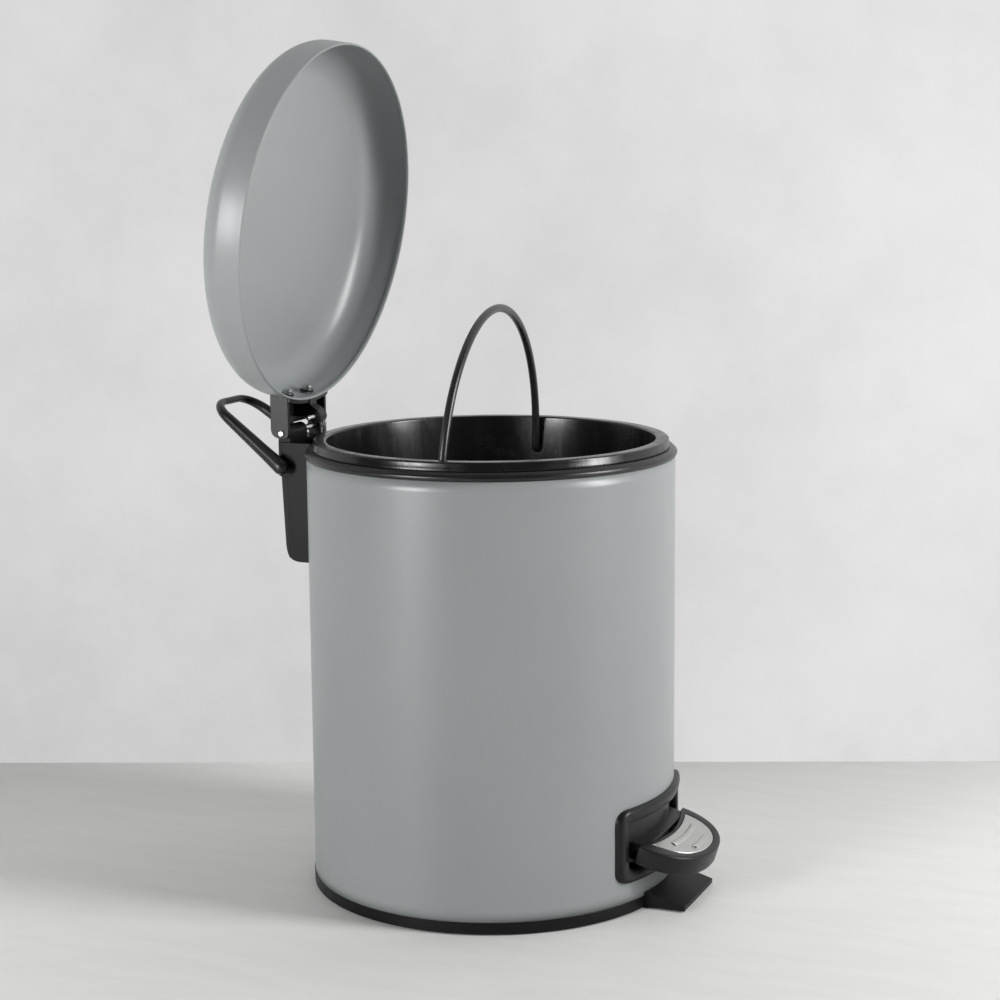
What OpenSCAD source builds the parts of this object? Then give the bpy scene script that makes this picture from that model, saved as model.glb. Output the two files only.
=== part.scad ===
// Small pedal pail with its lid held open, millimetres.
// The front, with the pedal, faces -Y, the hinge is at +Y, and the floor is z = 0.
// The origin is on the floor, on the axis of the round body.

/* [Body] */
// Outer diameter of the shell
body_d = 205; // [195:1:220]
// Height of the shell's lower edge above the floor
shell_z = 7; // [6:0.5:9]
// Height of the shell's cylinder
shell_h = 236; // [220:1:270]
// Thickness of the shell's sheet steel
shell_t = 0.6; // [0.5:0.1:1]

/* [Base] */
// How far the base ring stands out past the shell
base_lip = 0.4; // [0:0.1:1.5]
// Height of the ring's underside above the floor
pad_proud = 0.8; // [0.5:0.1:1.2]
// Height of the recess under the middle of the base
base_recess = 2.2; // [1:0.1:2.4]
// Thickness of the base's floor
floor_t = 2.4; // [2:0.1:3]
// Thickness of the wall that stands inside the shell
spigot_t = 2.2; // [1.6:0.1:2.6]
// Height to which that wall stands
spigot_top = 20; // [16:0.5:21]
// Width of the flat foot in front
foot_w = 51; // [40:1:60]
// Reach of the flat foot past the shell
foot_reach = 20; // [14:0.5:26]
// Thickness of the foot at its front edge
foot_front_h = 2.4; // [2:0.1:3]
// Diameter of a rubber pad
pad_d = 13; // [10:0.5:16]
// Thickness of a rubber pad
pad_t = 2; // [1.5:0.1:2.4]

/* [Bucket] */
// Gap from the floor to the bucket's underside
bucket_z = 30; // [28:0.5:36]
// How far the bucket's bottom is set in from the shell
bucket_foot_in = 20.5; // [18.5:0.5:28]
// Wall thickness of the bucket
bucket_t = 1.6; // [1.2:0.1:2]
// Width of the bucket's flat rim
bucket_rim_w = 7.4; // [5:0.1:9]
// Height of the collar below the rim
collar_h = 5; // [4:0.1:6]
// Turn of the loose bucket about the body's axis
bucket_turn = 5.5; // [-15:0.5:15]
// Wire diameter of the bail
bail_d = 4.5; // [3.5:0.1:5]
// Depth of the bail's pivots below the rim
bail_drop = 19; // [16:0.5:26]
// Straight part of the bail above each pivot
bail_leg = 2.5; // [1:0.5:8]
// Lean of the standing bail towards the front
bail_lean = 2.5; // [0:0.5:6]

/* [Lid] */
// How far the lid's edge is set in from the shell
lid_inset = 1.3; // [0.8:0.1:2]
// Height of the closed lid's edge above the shell's upper edge
lid_gap = 5; // [4.9:0.1:5.6]
// Thickness of the lid's sheet steel
lid_t = 0.8; // [0.5:0.1:1.2]
// Height of the lid's straight skirt
skirt_h = 14; // [13:0.5:18]
// Radial width of the rounded shoulder
shoulder_w = 20; // [12:1:30]
// Height of the rounded shoulder
shoulder_h = 16; // [12:0.5:20]
// Crown of the lid's top
crown_h = 4; // [1:0.5:8]
// Height of the hem on the lid's edge
hem_h = 2.4; // [1.5:0.1:3]
// Thickness of the hem
hem_t = 1.3; // [1:0.05:1.4]
// Angle through which the lid stands open
lid_open = 81.4; // [70:0.1:84]

/* [Hinge] */
// Distance of the hinge pin behind the shell
pin_back = 16.6; // [15.5:0.1:18]
// Height of the hinge pin above the shell's upper edge
pin_up = 8.9; // [8.6:0.1:10]
// Diameter of the hinge pin
pin_d = 3.5; // [2.5:0.1:4]
// Running clearance round each turning pin
pin_play = 0.05; // [0.03:0.01:0.09]
// Width over the bracket's two ears
ear_span = 47.2; // [46:0.2:52]
// Thickness of an ear
ear_t = 2; // [1.5:0.1:2.4]

/* [Hinge housing] */
// Width of the housing
housing_w = 47; // [46:0.5:52]
// Length of the housing down the shell
housing_h = 68.5; // [64:0.5:80]
// Wall thickness of the housing
housing_t = 2.4; // [2:0.1:2.8]
// Gap between the housing's top and the hinge pin's axis
housing_drop = 5.1; // [4.9:0.1:6]
// Diameter of a screw that holds the housing
housing_screw_d = 3; // [2.5:0.1:3.5]

/* [Carry handle] */
// Distance of each arm's centre line from the middle
handle_half = 28.4; // [28:0.1:31]
// Length from the pivot to the grip
handle_reach = 58; // [52:0.5:64]
// Angle at which the raised handle stands
handle_rise = 34.8; // [20:0.1:38]
// Angle by which the arms lean towards each other
handle_toe = 8.2; // [0:0.2:9]
// Diameter of an arm at its pivot
hub_d = 8.8; // [7.5:0.1:9]
// Diameter of the grip
grip_d = 4.4; // [4:0.1:6.5]
// Bend radius of the handle's corners
handle_bend = 14.5; // [11:0.5:17]
// Diameter of the pegs that it turns on
peg_d = 3.6; // [3:0.1:3.8]

/* [Pedal] */
// Width of the pedal's tread
tread_w = 76; // [66:1:78]
// Length of the tread from front to back
tread_l = 30.5; // [24:0.5:34]
// Height of the tread's back edge above the floor
tread_z = 39; // [37:0.5:39.5]
// Slope of the tread towards the front, pedal down
tread_tilt = 16.7; // [10:0.1:18]
// Height of the tread's skirt
tread_skirt = 10.5; // [10:0.1:12]
// Wall thickness of the pedal
tread_t = 2.4; // [2:0.1:2.8]
// Thickness of the stainless plate
plate_t = 0.8; // [0.5:0.1:1]
// Width of black tread left beside the plate
plate_side = 9.5; // [6:0.5:14]
// Width of black tread left in front of the plate
plate_front = 4; // [3:0.5:8]

/* [Pedal frame] */
// Width of the frame round the pedal opening
frame_w = 96; // [92:1:104]
// Height of that frame
frame_h = 41; // [39:0.5:44]
// Height of the frame's lower edge above the floor
frame_z = 18.5; // [18.5:0.5:20]
// Width of the frame's border
frame_border = 8; // [7:0.5:8.5]
// How far the frame stands out from the shell
frame_proud = 3.4; // [2:0.1:4.5]

/* [Linkage] */
// Distance of the lever's pivot in front of the body's axis
pivot_front = 28; // [24:0.5:34]
// Height of the lever's pivot above the floor
pivot_z = 15; // [14.5:0.1:15.5]
// Diameter of the pivot pin
pivot_d = 4; // [3:0.1:4.4]
// Width of the steel lever
lever_w = 18; // [14:0.5:20]
// Thickness of the steel lever
lever_t = 2; // [1.5:0.1:2.4]
// Diameter of the push rod
rod_d = 3; // [2.5:0.1:3.2]
// Distance of the push rod beside the middle
rod_x = 12; // [11.7:0.1:12.3]
// Hook of the rod in front of the hinge pin
hook_front = 8.8; // [8.5:0.1:9.2]
// Hook of the rod above the hinge pin
hook_up = 7.2; // [6.8:0.1:7.6]
// Height of the rod's foot above the floor, pedal down
rod_foot_z = 27.3; // [27:0.1:27.6]

/* [Hidden] */

grey_paint = [0.52, 0.54, 0.54];
black_plastic = [0.07, 0.07, 0.075];
gloss_black = [0.03, 0.03, 0.035];
black_steel = [0.10, 0.10, 0.105];
bright_steel = [0.78, 0.78, 0.78];
zinc_steel = [0.62, 0.63, 0.64];
rubber_grey = [0.16, 0.16, 0.16];

$fn = 96;
fine = 40;
// Overshoot of a cut past the face that it opens
cut = 1;
// Gap between pieces that move past each other
gap = 0.3;

body_r = body_d / 2;
shell_in_r = body_r - shell_t;
shell_top = shell_z + shell_h;
pin_r = pin_d / 2;
pin_at = [0, body_r + pin_back, shell_top + pin_up];

// Points of an arc in a plane, from angle a0 to a1
function arc(c, r, a0, a1, n = 8) =
    [for (i = [0 : n]) let (a = a0 + (a1 - a0) * i / n) [c[0] + r * cos(a), c[1] + r * sin(a)]];

// A profile in the Y-Z plane, pushed along X from x0 to x1
module along_x(x0, x1) {
    translate([x0, 0, 0]) rotate([90, 0, 90]) linear_extrude(x1 - x0) children();
}

// A round bar along X from x0 to x1 at y, z
module bar_x(d, x0, x1, y, z) {
    translate([x0, y, z]) rotate([0, 90, 0]) cylinder(d = d, h = x1 - x0, $fn = fine);
}

// A round bar along Y from y0 to y1 at x, z
module bar_y(d, y0, y1, x, z) {
    translate([x, y0, z]) rotate([-90, 0, 0]) cylinder(d = d, h = y1 - y0, $fn = fine);
}

// A flat rectangle with round corners, centred on the origin
module round_rect(w, h, r) {
    square([w - 2 * r, h], center = true);
    square([w, h - 2 * r], center = true);
    for (x = [-1, 1], y = [-1, 1])
        translate([x * (w / 2 - r), y * (h / 2 - r)]) circle(r = r, $fn = fine);
}

// A copy of what follows on each side of the middle
module both_sides() {
    children();
    mirror([1, 0, 0]) children();
}

// Moves what is drawn with the lid closed to the open lid
module opened() {
    translate(pin_at) rotate([-lid_open, 0, 0]) translate(-pin_at) children();
}

// Base: ring, floor, flat foot and the pivot's lugs
base_r = body_r + base_lip;
floor_under = pad_proud + base_recess;
floor_top = floor_under + floor_t;
recess_r = body_r - 27;
spigot_r = shell_in_r - gap;
spigot_in_r = spigot_r - spigot_t;
foot_front = body_r + foot_reach;
foot_root_z = shell_z + 2;
pad_ring_r = body_r - 14;
pad_angles = [35, 145, 215, 325];
pad_foot_y = foot_front - 10.5;
pivot_at = [0, -pivot_front, pivot_z];
lug_in = lever_w / 2 + 2;
lug_t = 3;
lug_r = 5;

module foot_wedge() {
    along_x(-foot_w / 2, foot_w / 2) polygon([
        [-body_r + 12, pad_proud], [-foot_front, pad_proud],
        [-foot_front, pad_proud + foot_front_h], [-body_r, foot_root_z],
        [-body_r + 12, foot_root_z]]);
}

module pad_places() {
    for (a = pad_angles) rotate([0, 0, a]) translate([pad_ring_r, 0, 0]) children();
    translate([0, -pad_foot_y, 0]) children();
    children();
}

module pivot_lug() {
    difference() {
        union() {
            bar_x(2 * lug_r, lug_in, lug_in + lug_t, pivot_at[1], pivot_z);
            translate([lug_in, pivot_at[1] - lug_r, floor_top - cut])
                cube([lug_t, 2 * lug_r, pivot_z - floor_top + cut]);
        }
        bar_x(pivot_d, lug_in - cut, lug_in + lug_t + cut, pivot_at[1], pivot_z);
    }
}

module base() {
    color(black_plastic) {
        difference() {
            union() {
                difference() {
                    union() {
                        translate([0, 0, pad_proud]) cylinder(r = base_r, h = shell_z - pad_proud);
                        translate([0, 0, pad_proud]) cylinder(r = spigot_r, h = spigot_top - pad_proud);
                        difference() {
                            foot_wedge();
                            translate([0, 0, shell_z]) cylinder(r = body_r + gap, h = shell_h);
                        }
                    }
                    translate([0, 0, floor_top]) cylinder(r = spigot_in_r, h = shell_h);
                    translate([0, 0, -cut]) cylinder(r = recess_r, h = floor_under + cut);
                }
                translate([0, 0, pad_proud]) cylinder(d = pad_d + 9, h = floor_t + base_recess);
            }
            pad_places() translate([0, 0, -cut]) cylinder(d = pad_d, h = pad_t + cut, $fn = fine);
            shield_notch();
        }
        both_sides() pivot_lug();
    }
}

module foot_pads() {
    color(rubber_grey) pad_places() cylinder(d = pad_d, h = pad_t, $fn = fine);
}

// Pedal opening, and the frame round it
frame_mid_z = frame_z + frame_h / 2;
opening_w = frame_w - 2 * frame_border;
opening_h = frame_h - 2 * frame_border;
frame_r = body_r + frame_proud;
frame_corner = 7;
frame_bevel = 2;
collar_wall = 1.2;
cutout_w = opening_w + 2 * collar_wall;
cutout_h = opening_h + 2 * collar_wall;

// A rounded window through the front of the body
module front_window(w, h, r) {
    translate([0, 0, frame_mid_z]) rotate([90, 0, 0])
        linear_extrude(foot_front) round_rect(w, h, r);
}

// A tube of the given radii that spans the frame's height
module frame_tube(r_in, r_out) {
    translate([0, 0, frame_z - cut]) difference() {
        cylinder(r = r_out, h = frame_h + 2 * cut);
        translate([0, 0, -cut]) cylinder(r = r_in, h = frame_h + 4 * cut);
    }
}

module pedal_surround() {
    color(black_plastic) difference() {
        union() {
            intersection() {
                frame_tube(body_r, frame_r - frame_bevel);
                front_window(frame_w, frame_h, frame_corner);
            }
            intersection() {
                frame_tube(body_r, frame_r);
                front_window(frame_w - 2 * frame_bevel, frame_h - 2 * frame_bevel,
                             frame_corner - frame_bevel);
            }
            intersection() {
                frame_tube(shell_in_r - collar_wall, body_r + cut);
                front_window(cutout_w, cutout_h, 3);
            }
        }
        front_window(opening_w, opening_h, 2);
    }
}

// Shell: cylinder with the pedal opening, the rod's slot and the screw holes
rod_slot_w = rod_d + 3.4;
rod_slot_h = 34;
rod_slot_drop = 38;
rod_slot_z = shell_top - rod_slot_drop;

module housing_screw_places() {
    for (z = [housing_low + housing_screw_up, shell_top - housing_screw_drop], s = [-1, 1])
        translate([s * housing_screw_x, 0, z]) children();
}

module shell() {
    color(grey_paint) difference() {
        translate([0, 0, shell_z]) cylinder(r = body_r, h = shell_h, $fn = 160);
        translate([0, 0, shell_z - cut]) cylinder(r = shell_in_r, h = shell_h + 2 * cut, $fn = 160);
        front_window(cutout_w, cutout_h, 3);
        translate([rod_x - rod_slot_w / 2, 0, rod_slot_z - rod_slot_h / 2])
            cube([rod_slot_w, body_r + cut, rod_slot_h]);
        housing_screw_places() bar_y(housing_screw_d, 0, body_r + cut, 0, 0);
    }
}

// Ring on the shell's upper edge, which carries the bucket
ring_top = shell_top + lid_gap - 0.4;
ring_in_r = body_r - 6.3;
ring_leg = 2;
ring_drop = 7;

module top_ring() {
    color(black_plastic) rotate_extrude($fn = 160) polygon(concat(
        [[shell_in_r - ring_leg, shell_top - ring_drop], [shell_in_r, shell_top - ring_drop],
         [shell_in_r, shell_top], [body_r + 0.6, shell_top]],
        arc([body_r - 0.7, shell_top + 1.7], 1.7, -20, 60, 4),
        [[body_r - 1, ring_top], [ring_in_r, ring_top], [ring_in_r, ring_top - 1.8],
         [shell_in_r - ring_leg, ring_top - 1.8]]));
}

// Bucket: tapered, with a wide rim and a collar that sits on the ring
rim_z = ring_top + collar_h;
collar_r = body_r - lid_inset - hem_t - 0.4;
rim_r = collar_r - 0.6;
bucket_mouth_r = rim_r - bucket_rim_w;
bucket_bottom_r = body_r - bucket_foot_in;
bail_z = rim_z - bail_drop;
bucket_corner = 6;
// Inner radius of the bucket's wall at height z
function bucket_in_r(z) = bucket_bottom_r - bucket_t
    + (bucket_mouth_r - bucket_bottom_r + bucket_t) * (z - bucket_z - bucket_corner)
    / (rim_z - bucket_z - bucket_corner);
bail_clear = 0.45;
bail_r = bucket_in_r(bail_z) - bail_clear - bail_d / 2;
bail_hole_d = bail_d + 2 * pin_play;
bail_boss_out = bucket_in_r(bail_z) + bucket_t + 2.2;

module bucket() {
    color(gloss_black) rotate([0, 0, bucket_turn]) difference() {
        union() {
            rotate_extrude($fn = 128) polygon(concat(
                [[0, bucket_z]],
                arc([bucket_bottom_r - bucket_corner, bucket_z + bucket_corner],
                    bucket_corner, -90, 0, 5),
                [[bucket_mouth_r + bucket_t, rim_z - 2], [rim_r - 1.6, rim_z - 2],
                 [collar_r - 1.5, ring_top], [collar_r, ring_top], [rim_r, rim_z - 1]],
                arc([rim_r - 1, rim_z - 1], 1, 0, 90, 3),
                arc([bucket_mouth_r + 1, rim_z - 1], 1, 90, 180, 3),
                [[bucket_bottom_r - bucket_t, bucket_z + bucket_corner]],
                arc([bucket_bottom_r - bucket_corner, bucket_z + bucket_corner],
                    bucket_corner - bucket_t, 0, -90, 5),
                [[0, bucket_z + bucket_t]]));
            both_sides() bar_x(11, bucket_in_r(bail_z) + bucket_t / 2, bail_boss_out, 0, bail_z);
        }
        bar_x(bail_hole_d, -body_r, body_r, 0, bail_z);
    }
}

// Bail: a half ring of wire with its ends turned out through the bucket's wall
module bucket_bail() {
    color(gloss_black) rotate([0, 0, bucket_turn]) translate([0, 0, bail_z])
        rotate([bail_lean, 0, 0]) {
            translate([0, 0, bail_leg]) rotate([90, 0, 0])
                rotate_extrude(angle = 180, $fn = 96) translate([bail_r, 0]) circle(d = bail_d, $fn = 24);
            both_sides() {
                translate([bail_r, 0, 0]) cylinder(d = bail_d, h = bail_leg, $fn = fine);
                translate([bail_r, 0, 0]) sphere(d = bail_d, $fn = fine);
                bar_x(bail_d, bail_r, bail_boss_out + gap + 0.2, 0, 0);
                bar_x(bail_d + 1.4, bail_boss_out + gap, bail_boss_out + gap + 1, 0, 0);
            }
        }
}

// Lid: skirt with a hem, rounded shoulder and a low crown, drawn closed
lid_r = body_r - lid_inset;
lid_z = shell_top + lid_gap;
lid_screw_x = 12;
lid_screw_z = lid_z + 9;
lid_screw_d = 4;
lid_head_d = 6;
lid_head_h = 1.9;
shoulder_steps = 10;
crown_steps = 6;
// The lid's profile set in by t, from the skirt's foot to the middle
function lid_line(t) = concat(
    [[lid_r - t, lid_z]],
    [for (i = [0 : shoulder_steps]) let (a = 90 * i / shoulder_steps)
        [lid_r - shoulder_w + (shoulder_w - t) * cos(a), lid_z + skirt_h + (shoulder_h - t) * sin(a)]],
    [for (i = [1 : crown_steps]) let (q = 1 - i / crown_steps)
        [(lid_r - shoulder_w) * q, lid_z + skirt_h + shoulder_h - t + crown_h * (1 - q * q)]]);
function backwards(list) = [for (i = [len(list) - 1 : -1 : 0]) list[i]];

module lid_screw_places() {
    for (s = [-1, 1]) translate([s * lid_screw_x, 0, lid_screw_z]) children();
}

module lid() {
    color(grey_paint) opened() difference() {
        union() {
            rotate_extrude($fn = 128) polygon(concat(lid_line(0), backwards(lid_line(lid_t))));
            rotate_extrude($fn = 128) polygon(concat(
                [[lid_r - hem_t + 0.3, lid_z], [lid_r, lid_z], [lid_r, lid_z + hem_h],
                 [lid_r - hem_t + 0.3, lid_z + hem_h], [lid_r - hem_t, lid_z + hem_h - 0.4],
                 [lid_r - hem_t, lid_z + 0.4]]));
        }
        lid_screw_places() bar_y(lid_screw_d + 0.2, 0, body_r + cut, 0, 0);
    }
}

// Bracket on the lid's skirt, drawn in the open position round the hinge pin
ear_out = ear_span / 2;
ear_back = 6.7;
ear_front = 4.4;
ear_below = 2.8;
ear_above = 26;
web_low = 3.6;
rib_x = [1, 9];
hook_boss_r = 3.6;
flange_t = 2;
flange_z = [1, 13.4];
hook_at = [0, pin_at[1] - hook_front, pin_at[2] + hook_up];
lid_seat_r = lid_r + 0.05;

module ear_outline() {
    translate([pin_at[1], pin_at[2]]) polygon(concat(
        [[ear_back, ear_above]],
        arc([ear_back - 5, 5 - ear_below], 5, 0, -90, 6),
        arc([2.5 - ear_front, 2.5 - ear_below], 2.5, -90, -180, 5),
        [[-ear_front, ear_above]]));
}

module rib_outline() {
    translate([hook_at[1], hook_at[2]]) circle(r = hook_boss_r, $fn = fine);
    translate([pin_at[1], pin_at[2]]) polygon([
        [-hook_front - 3, hook_up + 0.5], [-hook_front - 1.7, hook_up + 3.8],
        [-ear_front - 1.4, hook_up + 6.8], [-ear_front - 1.4, ear_above],
        [ear_back - 1, ear_above], [ear_back - 1, hook_up - 0.4], [-hook_front + 2, hook_up - 0.4]]);
}

module lid_bracket() {
    color(black_steel) difference() {
        union() {
            both_sides() along_x(ear_out - ear_t, ear_out) ear_outline();
            along_x(-ear_out, ear_out) translate([pin_at[1], pin_at[2]])
                translate([ear_back - ear_t, web_low]) square([ear_t, ear_above - web_low]);
            along_x(rib_x[0], rib_x[1]) rib_outline();
            opened() intersection() {
                translate([0, 0, lid_z + flange_z[0]])
                    cylinder(r = lid_seat_r + flange_t, h = flange_z[1] - flange_z[0]);
                translate([0.5 - ear_out, 0, lid_z]) cube([ear_span - 1, 2 * body_r, skirt_h]);
            }
            opened() lid_screw_places() bar_y(7.5, lid_r - 3, lid_r + 5, 0, 0);
        }
        opened() translate([0, 0, lid_z - skirt_h])
            cylinder(r = lid_seat_r, h = 3 * skirt_h, $fn = 160);
        opened() translate([-body_r, 0, lid_z + skirt_h]) cube([body_d, body_d, 3 * skirt_h]);
        bar_x(pin_d + 2 * pin_play, -ear_out - cut, ear_out + cut, pin_at[1], pin_at[2]);
        bar_x(rod_d + 2 * pin_play, rib_x[0] - cut, rib_x[1] + cut, hook_at[1], hook_at[2]);
        opened() lid_screw_places() bar_y(lid_screw_d, lid_r - 6, lid_r + 8, 0, 0);
    }
}

washer_t = 1;
washer_y = sqrt(pow(lid_r - lid_t, 2) - pow(lid_screw_x + 4, 2)) - 0.05;

module lid_washers() {
    color(black_steel) opened() lid_screw_places() difference() {
        bar_y(8, washer_y - washer_t, washer_y, 0, 0);
        bar_y(lid_screw_d + 0.4, washer_y - washer_t - cut, washer_y + cut, 0, 0);
    }
}

module lid_screws() {
    color(zinc_steel) opened() lid_screw_places() {
        bar_y(lid_screw_d, washer_y - washer_t - 1, lid_r + 4, 0, 0);
        translate([0, washer_y - washer_t, 0]) rotate([90, 0, 0]) {
            cylinder(d = lid_head_d, h = lid_head_h, $fn = fine);
            translate([0, 0, lid_head_h])
                cylinder(d1 = lid_head_d, d2 = lid_screw_d, h = lid_head_h / 2, $fn = fine);
        }
    }
}

// Hinge pin, fixed in the housing's lugs
pin_half = ear_out + 0.9;
pin_chamfer = 0.4;

module hinge_pin() {
    color(bright_steel) {
        bar_x(pin_d, -pin_half + pin_chamfer, pin_half - pin_chamfer, pin_at[1], pin_at[2]);
        both_sides() translate([pin_half - pin_chamfer, pin_at[1], pin_at[2]]) rotate([0, 90, 0])
            cylinder(d1 = pin_d, d2 = pin_d - 2 * pin_chamfer, h = pin_chamfer, $fn = fine);
    }
}

// Hinge housing on the back of the shell
housing_half = housing_w / 2;
housing_top = pin_at[2] - housing_drop;
housing_low = housing_top - housing_h;
housing_back = body_r + 20;
hub_zone = 19.5;
side_back = pin_at[1] - 3.2;
upper_side_back = pin_at[1] + 0.3;
lug_out_x = ear_out - ear_t - gap;
lug_in_x = lug_out_x - 5.5;
knuckle_r = 4.2;
rib_play = 1.3;
mouth_back = pin_at[1] - 2.8;
handle_at = [0, pin_at[1] - 1.9, shell_top - 9.5];
hub_recess = 0.9;
hub_recess_d = hub_d + 4.4;
housing_screw_x = 18;
housing_screw_up = 12.7;
housing_screw_drop = 17;
housing_screw_bite = 9.5;
screw_boss_d = 7;
screw_head_d = 6;
screw_head_h = 1.8;
lug_root = 7;
peg_l = 6.5;

// Side view of the housing set in by t, in Y and Z
module housing_side(t) {
    polygon(concat(
        [[body_r - 12, housing_top + (t > 0 ? cut : 0)],
         [housing_back - t, housing_top + (t > 0 ? cut : 0)],
         [housing_back - t, housing_top - hub_zone],
         [housing_back - 3.3 - t, housing_low + 10]],
        arc([housing_back - 13.3 - t, housing_low + 10], 10 - t, -8, -90, 6),
        [[body_r - 12, housing_low + t]]));
}

// Plan of the housing set in by t, its back corners cut off at side_y
module housing_plan(t, side_y) {
    x = housing_half - t;
    chamfer = housing_back - side_y;
    polygon([[-x, body_r - 12], [x, body_r - 12], [x, side_y - t / 2],
             [x - chamfer * 0.78, housing_back - t], [-x + chamfer * 0.78, housing_back - t],
             [-x, side_y - t / 2]]);
}

module housing_body(t) {
    intersection() {
        along_x(-housing_half, housing_half) housing_side(t);
        union() {
            translate([0, 0, housing_low - cut])
                linear_extrude(housing_h - hub_zone + cut) housing_plan(t, side_back);
            translate([0, 0, housing_top - hub_zone])
                linear_extrude(hub_zone + 2 * cut) housing_plan(t, upper_side_back);
        }
    }
}

// A barrel round the pin from x0 to x1, on its root in the housing
module housing_lug(x0, x1) {
    bar_x(2 * knuckle_r, x0, x1, pin_at[1], pin_at[2]);
    translate([x0, pin_at[1] - knuckle_r, housing_top - lug_root])
        cube([x1 - x0, housing_back - pin_at[1] + knuckle_r - 1, lug_root]);
    translate([x0, pin_at[1] - knuckle_r, housing_top - cut])
        cube([x1 - x0, 2 * knuckle_r - 1, housing_drop + cut]);
}

module hinge_housing() {
    color(black_plastic) difference() {
        union() {
            difference() {
                housing_body(0);
                difference() {
                    housing_body(housing_t);
                    translate([-housing_half, mouth_back, housing_top - housing_t])
                        cube([housing_w, housing_w, hub_zone]);
                }
            }
            housing_lug(-lug_out_x, rib_x[0] - rib_play);
            housing_lug(lug_in_x, lug_out_x);
            both_sides() bar_x(hub_d, housing_half - housing_t - 2, housing_half - hub_recess - 0.1,
                               handle_at[1], handle_at[2]);
            housing_screw_places() bar_y(screw_boss_d, body_r - screw_boss_d, side_back, 0, 0);
        }
        translate([0, 0, housing_low - cut]) cylinder(r = body_r + 0.05, h = housing_h + 20, $fn = 160);
        translate([0, 0, shell_top - 0.2]) cylinder(r = body_r + 1.4, h = 20);
        bar_x(pin_d, -pin_half, pin_half, pin_at[1], pin_at[2]);
        both_sides() {
            bar_x(hub_recess_d, housing_half - hub_recess, housing_half + cut,
                  handle_at[1], handle_at[2]);
            bar_x(peg_d + 2 * pin_play, housing_half - peg_l, housing_half + cut,
                  handle_at[1], handle_at[2]);
        }
        housing_screw_places()
            bar_y(housing_screw_d, 0, body_r + housing_screw_bite + 0.5, 0, 0);
    }
}

module housing_screws() {
    head_y = sqrt(pow(shell_in_r, 2) - pow(housing_screw_x + screw_head_d / 2, 2)) - 0.05;
    color(zinc_steel) housing_screw_places() {
        bar_y(housing_screw_d, head_y - 1, body_r + housing_screw_bite, 0, 0);
        translate([0, head_y, 0]) rotate([90, 0, 0])
            cylinder(d1 = screw_head_d, d2 = 0.73 * screw_head_d, h = screw_head_h, $fn = fine);
    }
}

// Carry handle: tapered arms, rounded corners and a grip along X
arm_len = (handle_reach - handle_bend * (1 - sin(handle_toe))) / cos(handle_toe);
corner_x = handle_half - arm_len * sin(handle_toe) - handle_bend * cos(handle_toe);
arm_end_d = grip_d + 1;
peg_len = 5.2;

// An arm on the side s, -1 or 1, with half of the grip's corner
module handle_arm(s) {
    translate([s * handle_half, 0, 0]) {
        sphere(d = hub_d, $fn = fine);
        rotate([0, -s * handle_toe, 0]) {
            cylinder(d1 = hub_d - 0.06, d2 = arm_end_d, h = arm_len, $fn = fine);
            translate([0, 0, arm_len]) sphere(d = arm_end_d + 0.1, $fn = fine);
        }
    }
    peg_in = housing_half - hub_recess - peg_len + gap;
    bar_x(peg_d, min(s * peg_in, s * handle_half), max(s * peg_in, s * handle_half), 0, 0);
    translate([s * corner_x, 0, handle_reach - handle_bend]) rotate([90, 0, 0])
        rotate(45 - s * 45) rotate_extrude(angle = 90, $fn = 96) translate([handle_bend, 0])
            circle(d = grip_d, $fn = 32);
}

module carry_handle() {
    color(black_plastic) translate(handle_at) rotate([handle_rise - 90, 0, 0]) {
        handle_arm(-1);
        handle_arm(1);
        bar_x(grip_d - 0.2, -corner_x - 1, corner_x + 1, 0, handle_reach);
    }
}

// Pedal: tread with a skirt, and a curved shield behind it
tread_back = body_r + 0.5;
shield_r = shell_in_r - collar_wall - gap - 0.6;
shield_t = 2.2;
shield_half = 42;
shield_z = [frame_z - 5, frame_z + frame_h - 6.5];
tread_half = tread_w / 2;
bridge_half = tread_half - 4;
boss_h = 3;
screw_from_back = [7, 17];
tab_z = -tread_t - boss_h - lever_t / 2;

// The tread's own frame: its top is z = 0 and slopes down to the front
module on_tread() {
    translate([0, -tread_back, tread_z - 0.5]) rotate([tread_tilt, 0, 0]) children();
}

// Half an ellipse that bulges to -Y, set in by t
module half_oval(w, l, n = 28) {
    polygon([for (i = [0 : n]) let (a = 180 + 180 * i / n) [w * cos(a), l * sin(a)]]);
}

// The room that the shield needs in the base's upright wall
module shield_notch() {
    translate([-shield_half - 2, -body_r - 1, shield_z[0] - 1])
        cube([2 * shield_half + 4, body_r / 2, shell_h]);
}

module tread_body() {
    difference() {
        translate([0, 0, -tread_skirt]) linear_extrude(tread_skirt) {
            half_oval(tread_half, tread_l);
            translate([-tread_half, -0.01]) square([tread_w, 2]);
        }
        translate([0, 0, -tread_skirt - cut]) linear_extrude(tread_skirt - tread_t + cut) {
            half_oval(tread_half - tread_t, tread_l - tread_t);
            translate([-bridge_half + tread_t, -0.01]) square([2 * (bridge_half - tread_t), 2 + cut]);
        }
        translate([0, 0, -plate_t]) linear_extrude(plate_t + cut) plate_outline(0.1);
    }
    difference() {
        translate([-bridge_half, 1, -tread_skirt]) cube([2 * bridge_half, 14, tread_skirt]);
        translate([-bridge_half + tread_t, 0, -tread_skirt - cut])
            cube([2 * (bridge_half - tread_t), 16, tread_skirt - tread_t + cut]);
    }
    for (y = screw_from_back) translate([0, -y, -tread_t - boss_h])
        cylinder(d = 7, h = boss_h + 0.1, $fn = fine);
}

module shield() {
    intersection() {
        translate([0, 0, shield_z[0]]) difference() {
            cylinder(r = shield_r, h = shield_z[1] - shield_z[0]);
            translate([0, 0, -cut]) cylinder(r = shield_r - shield_t, h = shield_z[1]);
        }
        translate([-shield_half, -body_r, 0]) cube([2 * shield_half, body_r / 2, 2 * shield_z[1]]);
    }
}

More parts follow.
